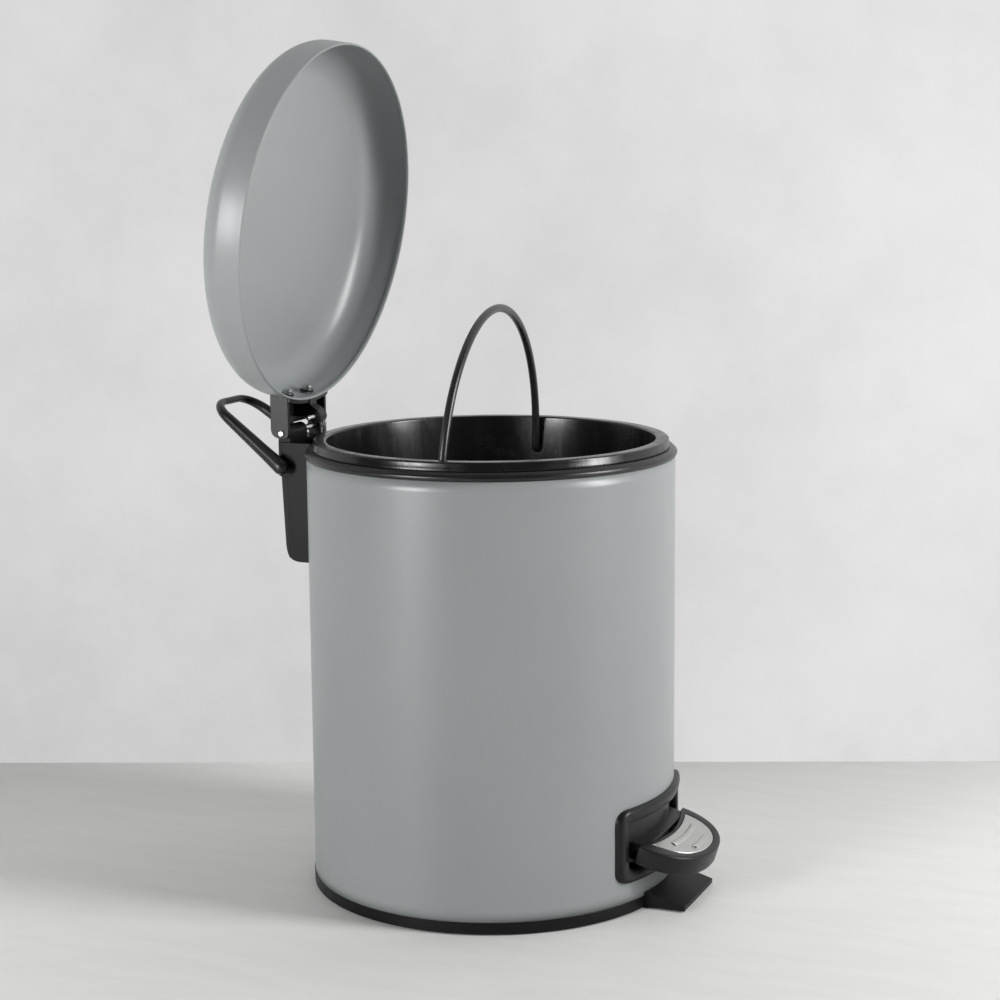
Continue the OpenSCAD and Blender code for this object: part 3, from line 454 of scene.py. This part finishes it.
BAIL_R, BAIL_LEG, BAIL_Z, BAIL_WIRE = 87.83, 2.5, 233.6, 2.25
half_ring = arc_points((0, BAIL_LEG), BAIL_R, 0, 180, 90)
right_foot = arc_points((BAIL_R + 2.5, 2.5), 2.5, 270, 180, 7)[:-1]
bail_line = np.concatenate([[(95.2, 0), (93.5, 0), (92, 0)], right_foot, half_ring,
                            (right_foot * (-1, 1))[::-1], [(-92, 0), (-93.5, 0), (-95.2, 0)]])
bail_path = np.stack([bail_line[:, 0], np.zeros(len(bail_line)), bail_line[:, 1]], axis=-1)
bail_path = about_upright(about_level(bail_path, math.radians(2.5)), BUCKET_TURN) + (0, 0, BAIL_Z)
wire_coat = Finish("black wire coat")
wire_coat.coat(
    Base_Color=wire_coat.mix(wire_coat.cloud(120, 4, 0.6), (0.012, 0.012, 0.013, 1),
                             (0.022, 0.022, 0.023, 1)),
    Roughness=0.24 + wire_coat.cloud(300, 3, 0.6) * 0.12,
    Normal=wire_coat.relief(wire_coat.cloud(500, 2, 0.5), 0.00002))
dress(make_piece("bail_wire", [tube(bail_path, BAIL_WIRE, 24, 0.3)]), wire_coat,
      "bail", "bucket_bail")


# The lid is drawn from one disc of steel: a low crown, a rounded shoulder, a straight skirt, and an
# edge that is rolled under. It has the shell's powder coat, drawn a little lighter as painted light,
# and is shown swung open on its pin.
PIN = np.array([0, 119.1, 251.9])
OPEN = math.radians(-81.4)


def swung_open(points):
    """Points of the closed lid, turned back about the hinge pin."""
    return about_level(np.asarray(points) - PIN, OPEN) + PIN


def lid_line(inset):
    """Half the lid's section from the middle to the skirt, set in by the sheet's thickness: a
    parabola for the crown, then a quarter ellipse, with the corner between them eased."""
    r = np.linspace(0, 76, 20)
    crown = np.stack([r, 278 - inset + 4 * (1 - (r / 81.2) ** 2)], axis=-1)
    a = np.radians(np.linspace(84, 0, 26))
    shoulder = np.stack([81.2 + (20 - inset) * np.cos(a), 262 + (16 - inset) * np.sin(a)], axis=-1)
    return np.concatenate([crown, shoulder])


lid_profile = np.concatenate([
    lid_line(0), [(101.2, 256), (101.2, 251.5), (101.27, 250.6), (101.3, 249.3)],
    arc_points((0, 0), 1, -5, -250, 26) * (0.78, 1.5) + (100.55, 249.5),
    [(100.36, 251.4), (100.4, 256)], lid_line(0.8)[::-1]])
# The lid's coat is the shell's paint drawn a little lighter, as painted light.
lid_coat_painted_lighter = powder_coat("grey powder coat on the lid, painted lighter", 0.286)
lid_points, lid_cells = turned_on_lathe(lid_profile)
dress(make_piece("lid_pressing", [(swung_open(lid_points), lid_cells)], crease=50), lid_coat_painted_lighter,
      "lid", "lid")


# The bracket on the lid's skirt is black plastic like the housing. Two bright screws hold it, whose
# washers and domed heads lie inside the lid.
dress(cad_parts["lid_bracket"], black_moulding("bracket plastic", 0.008, 0.32))
zinc = Finish("zinc plate")
blotch = zinc.cloud(240, 4, 0.6)
zinc.coat(Base_Color=zinc.mix(blotch, (0.42, 0.43, 0.44, 1), (0.56, 0.57, 0.57, 1)), Metallic=1.0,
          Roughness=0.26 + blotch * 0.16,
          Normal=zinc.relief(zinc.cloud(700, 3, 0.6), 0.00002,
                             zinc.node("ShaderNodeBevel", {"samples": 4}, {"Radius": 0.0003})))
for name in ("lid_screws", "housing_screws", "pedal_screws", "pivot_clips", "pedal_lever"):
    dress(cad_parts[name], zinc)
dark_washer = black_moulding("black washer", 0.012, 0.4, rounding=0.0002)
for name in ("lid_washers", "rod_clip"):
    dress(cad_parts[name], dark_washer)


# The hinge pin and the lever's pivot pin are cut from bright drawn steel rod.
def drawn_steel(name, along):
    """Bright steel with fine drawing lines along one axis."""
    finish = Finish(name)
    stretch = tuple(0.06 if axis == along else 1.0 for axis in "XYZ")
    lines = finish.cloud(2200, 2, 0.6, stretch)
    finish.coat(Base_Color=finish.mix(lines, (0.66, 0.66, 0.65, 1), (0.80, 0.80, 0.79, 1)), Metallic=1.0,
                Roughness=0.17 + lines * 0.12, Normal=finish.relief(lines, 0.000008))
    return finish


pin_steel = drawn_steel("drawn steel pin", "X")
for name in ("hinge_pin", "pivot_pin"):
    dress(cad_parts[name], pin_steel)


# The hinge housing is a hollow black moulding screwed to the back of the shell. It holds the pin
# between two lugs, the rod runs down inside it, and the guide fork inside the shell is its fellow.
dress(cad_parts["hinge_housing"], matt_black)
dress(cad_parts["rod_guide"], matt_black)


# The carry handle is a moulded black loop: thick round ends with pegs that turn in the housing's
# sides, arms that taper and lean towards each other, and a thinner grip.
HANDLE_AT, HANDLE_RISE = np.array([0, 117.2, 233.5]), math.radians(34.8)
HANDLE_HALF, HANDLE_REACH, HANDLE_BEND, HANDLE_TOE = 28.65, 58.0, 14.5, math.radians(8.2)


def handle_loop():
    """A path up one arm, which leans in by the toe angle, round the corner and along half the grip,
    mirrored, with its radius at each point falling smoothly from the hub to the grip."""
    arm_l = (HANDLE_REACH - HANDLE_BEND * (1 - math.sin(HANDLE_TOE))) / math.cos(HANDLE_TOE)
    along = np.linspace(0, arm_l, 24)[:-1, None]
    arm = (HANDLE_HALF, 0) + along * (-math.sin(HANDLE_TOE), math.cos(HANDLE_TOE))
    corner_x = HANDLE_HALF - arm_l * math.sin(HANDLE_TOE) - HANDLE_BEND * math.cos(HANDLE_TOE)
    half = np.concatenate([arm, arc_points((corner_x, HANDLE_REACH - HANDLE_BEND), HANDLE_BEND,
                                           math.degrees(HANDLE_TOE), 90, 26),
                           np.stack([np.linspace(corner_x, 0, 5)[1:], np.full(4, HANDLE_REACH)], axis=-1)])
    line = np.concatenate([half, (half * (-1, 1))[::-1][1:]])
    travelled = np.concatenate([[0], np.cumsum(np.linalg.norm(np.diff(half, axis=0), axis=1))])
    thick = np.interp(travelled, (0, 14, 44, 66), (4.37, 3.80, 3.10, 2.05))
    path = np.stack([line[:, 0], np.zeros(len(line)), line[:, 1]], axis=-1)
    return path, np.concatenate([thick, thick[::-1][1:]])


handle_path, handle_radius = handle_loop()
handle_rings, handle_cells = tube(handle_path, handle_radius, 28, 1.0, (0, 1, 0))
handle_rings = about_level(handle_rings, HANDLE_RISE - math.pi / 2) + HANDLE_AT
PEG_X, PEG_R = (HANDLE_HALF - 1.5, 24, 21, 17.9), 1.8
peg_shells = [tube(HANDLE_AT + np.outer(PEG_X, (side, 0, 0)), PEG_R, 24, 0.2) for side in (-1, 1)]
handle_plastic = black_moulding("handle plastic", 0.010, 0.34, 0.45)
dress(make_piece("handle_loop", [(handle_rings, handle_cells)] + peg_shells), handle_plastic,
      "handle", "carry_handle")


# The push rod is one bent piece of bright steel wire. Its upper end hooks through the rib of the
# lid's bracket, and its foot turns into the slot of the lever's ear.
def eased_path(corners, bends):
    """A path through the corners, with each inner corner replaced by an arc of its bend radius."""
    corners = np.asarray(corners, float)
    path = [corners[:1]]
    for k, bend in enumerate(bends, start=1):
        back, on = corners[k - 1] - corners[k], corners[k + 1] - corners[k]
        back, on = back / np.linalg.norm(back), on / np.linalg.norm(on)
        half = math.acos(float(back @ on)) / 2
        centre = corners[k] + (back + on) / np.linalg.norm(back + on) * bend / math.sin(half)
        start = corners[k] + back * bend / math.tan(half) - centre
        end = corners[k] + on * bend / math.tan(half) - centre
        share = np.linspace(0, 1, 9)[:, None]
        sweep = math.pi - 2 * half
        arc = np.sin((1 - share) * sweep) * start + np.sin(share * sweep) * end
        path.append(centre + arc / math.sin(sweep))
    path.append(corners[-1:])
    return np.concatenate(path)


rod_path = eased_path([(-7, 110.3, 259.1), (12, 110.3, 259.1), (12, 110.3, 226), (12, 98.2, 206),
                       (12, 98.2, 61.3), (12, 91, 47.3), (12, 91, 27.3), (4.5, 91, 27.3)],
                      [3, 6, 6, 6, 6, 3])
rod_steel = drawn_steel("drawn steel rod", "Z")
dress(make_piece("rod_wire", [tube(rod_path, 1.5, 20, 0.35)]), rod_steel, "rod", "push_rod")


# The frame round the pedal opening is a black moulding, curved to the shell and clipped into its
# cut-out. Its face rises from the outer edge to a crest and falls towards the opening.
def rounded_loop(width, height, corner):
    """A closed rounded rectangle, with the same number of points for every size."""
    x, z = width / 2 - corner, height / 2 - corner
    parts = []
    for cx, cz, start in ((x, z, 0), (-x, z, 90), (-x, -z, 180), (x, -z, 270)):
        parts.append(arc_points((cx, cz), corner, start, start + 90, 8))
    loop = []
    for here, following in zip(parts, parts[1:] + parts[:1]):
        share = np.linspace(0, 1, 22)[1:-1, None]
        loop += [here, here[-1] * (1 - share) + following[0] * share]
    return np.concatenate(loop)


def pedal_frame():
    """Point (place round the loop, place across the border): the outer loop blends into the inner
    one, and the height over the shell follows the section of the border."""
    across = np.array([(0.0, 0.0), (0.0, 1.7), (0.03, 2.3), (0.09, 2.95), (0.18, 3.3), (0.30, 3.38),
                       (0.44, 3.2), (0.70, 2.62), (0.80, 2.35), (0.88, 1.8), (0.93, 1.1), (1.0, -0.6),
                       (1.0, -1.8), (0.85, -1.8)])
    outer, inner = rounded_loop(96, 41, 7), rounded_loop(80, 25, 2.5)
    share = across[:, 0][None, :, None]
    flat = outer[:, None] * (1 - share) + inner[:, None] * share
    radius = 102.52 + across[:, 1][None]
    x, z = flat[..., 0], flat[..., 1] + 39
    points = np.stack([x, -np.sqrt(radius ** 2 - x ** 2), z], axis=-1)
    return points, grid_faces(len(outer), len(across), True)


frame_plastic = black_moulding("pedal frame plastic", 0.0055, 0.34, rounding=0.0003)
frame_points, frame_cells = pedal_frame()
dress(make_piece("pedal_frame", [(frame_points, frame_cells)], crease=40), frame_plastic,
      "body", "pedal_surround")


# The pedal is one black moulding: a half-oval tread with a deep skirt, a neck that goes through the
# opening, and a curved shield that keeps the opening closed as the pedal moves.
TREAD_BACK, TREAD_Z, TREAD_TILT = 103.0, 38.5, math.radians(16.7)
TREAD_HALF, TREAD_L, SKIRT, RIM_R = 38.0, 30.5, 10.5, 106.5
PLATE_HALF, PLATE_L, PLATE_BACK, PLATE_R = 28.5, 22.5, 4.0, 109.0


def on_tread(points):
    """Points of the tread's own flat frame, tilted and set in front of the shell."""
    return about_level(points, TREAD_TILT) + (0, -TREAD_BACK, TREAD_Z)


OVAL_POWER = 2 / 2.2


def half_oval(half, length, lift=0.0, count=121):
    """The front of a superellipse, from its right end round the front to its left end."""
    a = np.radians(np.linspace(0, 180, count))
    c, s = np.cos(a), np.sin(a)
    return np.stack([half * np.sign(c) * np.abs(c) ** OVAL_POWER,
                     -lift - length * np.abs(s) ** OVAL_POWER], axis=-1)


def back_arc(half, radius, limit):
    """The hollow back edge: an arc about the pail's axis, no further back than limit."""
    x = np.linspace(-half, half, 61)
    return np.stack([x, np.minimum(TREAD_BACK - np.sqrt(radius ** 2 - x ** 2), limit)], axis=-1)


def reach(loop, centre, angles):
    """How far a closed loop lies from a centre in each direction."""
    off = loop - centre
    turn = np.degrees(np.arctan2(off[:, 1], off[:, 0]))
    order = np.argsort(turn)
    return np.interp(angles, turn[order], np.linalg.norm(off, axis=1)[order], period=360)


def tread_shell():
    """Rings round one centre: the plate's seat, the black rim, the rounded edge, the skirt outside
    and inside, and the underside, each at its own share of the way to the outline."""
    centre = np.array([0, -12.0])
    outline = np.concatenate([half_oval(TREAD_HALF, TREAD_L), [(-TREAD_HALF, 1), (-TREAD_HALF, 2)],
                              back_arc(TREAD_HALF - 0.01, RIM_R, 2.0), [(TREAD_HALF, 2), (TREAD_HALF, 1)]])
    seat = np.concatenate([half_oval(PLATE_HALF + 0.25, PLATE_L + 0.25, PLATE_BACK),
                           back_arc(PLATE_HALF + 0.2, PLATE_R - 0.25, 50)])
    corner = np.degrees(np.arctan2(2 - centre[1], TREAD_HALF))
    angles = np.union1d(np.linspace(-180, 180, 289)[:-1], np.array([corner, 180 - corner]))
    far, near = reach(outline, centre, angles), reach(seat, centre, angles)
    rings = [(0 * near, -0.8), (near * 0.5, -0.8), (near - 0.1, -0.8), (near, -0.75), (near, -0.25),
             (near + 0.12, -0.06), (near + 0.35, 0.0), ((near + far) / 2, 0.0), (far - 1.5, 0.0),
             (far - 1.0, -0.08), (far - 0.55, -0.3), (far - 0.2, -0.68), (far - 0.02, -1.2), (far, -1.8),
             (far, -SKIRT + 0.6), (far - 0.15, -SKIRT + 0.2), (far - 0.5, -SKIRT),
             (far - 1.9, -SKIRT), (far - 2.3, -SKIRT + 0.4), (far - 2.4, -SKIRT + 1),
             (far - 2.4, -2.6), (far * 0.5, -2.6), (0 * far, -2.6)]
    a = np.radians(angles)
    points = np.stack([np.stack([centre[0] + r * np.cos(a), centre[1] + r * np.sin(a),
                                 np.full(len(a), h)], axis=-1) for r, h in rings], axis=1)
    return on_tread(points), grid_faces(len(angles), len(rings), True)


def neck_shell():
    """A low arch: its section is carried back from under the tread's rim to the shield."""
    section = np.array([(34, -10.4), (34, -2.2), (33.8, -1.5), (33.3, -1.1), (32.6, -1.0)])
    flat = np.stack([np.linspace(32.6, -32.6, 41), np.full(41, -1.0)], axis=-1)
    section = np.concatenate([section[:-1], flat, (section * (-1, 1))[::-1][1:]])
    x, z = section.T
    far = (TREAD_BACK - np.sqrt(98.6 ** 2 - x ** 2)) / math.cos(TREAD_TILT) - z * math.tan(TREAD_TILT)
    share = np.linspace(0, 1, 10)[:, None]
    points = np.stack([np.broadcast_to(x, (10, len(x))), -1.2 * (1 - share) + far * share,
                       np.broadcast_to(z, (10, len(x)))], axis=-1)
    return on_tread(points), grid_faces(10, len(x))


def shield_wall():
    """A piece of a cylinder, upright, behind the opening."""
    radius, turn = 99.75, np.radians(np.linspace(-24.9, 24.9, 61) - 90)
    a, z = np.meshgrid(turn, np.linspace(13.6, 52.9, 24), indexing="ij")
    return np.stack([radius * np.cos(a), radius * np.sin(a), z], axis=-1), grid_faces(61, 24)


pedal_plastic = black_moulding("pedal plastic", 0.0075, 0.36, rounding=0.0003)
dress(make_piece("pedal_tread", [tread_shell()], crease=40), pedal_plastic,
      "pedal", "pedal")
for name, shape, depth in (("pedal_neck", neck_shell(), 2.2), ("pedal_shield", shield_wall(), 2.2)):
    wall_piece = make_piece(name, [shape], crease=40)
    thick = wall_piece.modifiers.new("wall", "SOLIDIFY")
    thick.thickness, thick.offset = depth * 0.001, -1
    dress(wall_piece, pedal_plastic, "pedal", "pedal")


# The tread plate is brushed stainless sheet, let into the tread and glued. Two ribs are pressed up
# in it for grip, and its edge is turned down a little.
RIBS = ((115.3, 8.6), (124.3, 4.4))
RIB_HALF, RIB_FLANK = 1.8, 0.8


def plate_sheet():
    """Point (angle about the pail's axis, share from the back arc to the front), so that the back
    edge and the ribs follow grid lines. Each rib is a rounded ridge with upright ends, and the
    cells of its ends are left out, as the sheet is cut there before it is pressed up."""
    corner = TREAD_BACK - math.sqrt(PLATE_R ** 2 - PLATE_HALF ** 2)
    front = np.concatenate([[(PLATE_HALF, corner)], half_oval(PLATE_HALF, PLATE_L, PLATE_BACK, count=400),
                            [(-PLATE_HALF, corner)]])
    front_turn = np.degrees(np.arctan2(front[:, 0], TREAD_BACK - front[:, 1]))
    front_reach = np.hypot(front[:, 0], TREAD_BACK - front[:, 1])
    limit = front_turn.max() - 0.001
    ends = [sign * (half + step) for _, half in RIBS for sign in (-1, 1) for step in (0, 0.12)]
    turn = np.union1d(np.sin(np.radians(np.linspace(-90, 90, 181))) * limit, np.array(ends))
    order = np.argsort(front_turn)
    far = np.interp(turn, front_turn[order], front_reach[order])
    share = 0.5 - 0.5 * np.cos(np.radians(np.linspace(0, 180, 121)))
    radius = PLATE_R + (far[:, None] - PLATE_R) * share
    angle = np.broadcast_to(turn[:, None], radius.shape)
    height = np.full(radius.shape, 0.22)
    for rib_r, half in RIBS:
        ridge = np.clip((RIB_HALF - np.abs(radius - rib_r)) / RIB_FLANK, 0, 1)
        height = height + ridge ** 2 * (3 - 2 * ridge) * (np.abs(angle) < half + 0.06)
    edge = np.minimum(radius - PLATE_R, far[:, None] - radius)
    height = height - 0.35 * np.clip(1 - edge / 0.45, 0, 1) ** 2
    a = np.radians(angle)
    points = np.stack([radius * np.sin(a), TREAD_BACK - radius * np.cos(a), height], axis=-1)
    cells = grid_faces(*radius.shape)
    corner_heights = points.reshape(-1, 3)[cells, 2]
    corner_turns = angle.reshape(-1)[cells]
    upright = (np.ptp(corner_heights, axis=1) > 0.3) & (np.ptp(corner_turns, axis=1) < 0.2)
    upright &= np.ptp(corner_heights[:, [0, 3]], axis=1) < 0.3
    return on_tread(points), cells[~upright]


brushed = Finish("brushed stainless plate")
fine = brushed.cloud(1500, 2, 0.6, (0.05, 1, 1))
broad = brushed.cloud(90, 3, 0.6)
brushed.coat(Base_Color=brushed.mix(fine, (0.50, 0.50, 0.49, 1), (0.68, 0.68, 0.66, 1)), Metallic=1.0,
             Roughness=0.30 + fine * 0.16 + (broad - 0.5) * 0.10, Normal=brushed.relief(fine, 0.00001))
plate = make_piece("tread_plate", [plate_sheet()], crease=60)
plate_depth = plate.modifiers.new("sheet", "SOLIDIFY")
plate_depth.thickness, plate_depth.offset = 0.0007, -1
dress(plate, brushed, "pedal", "pedal_plate")
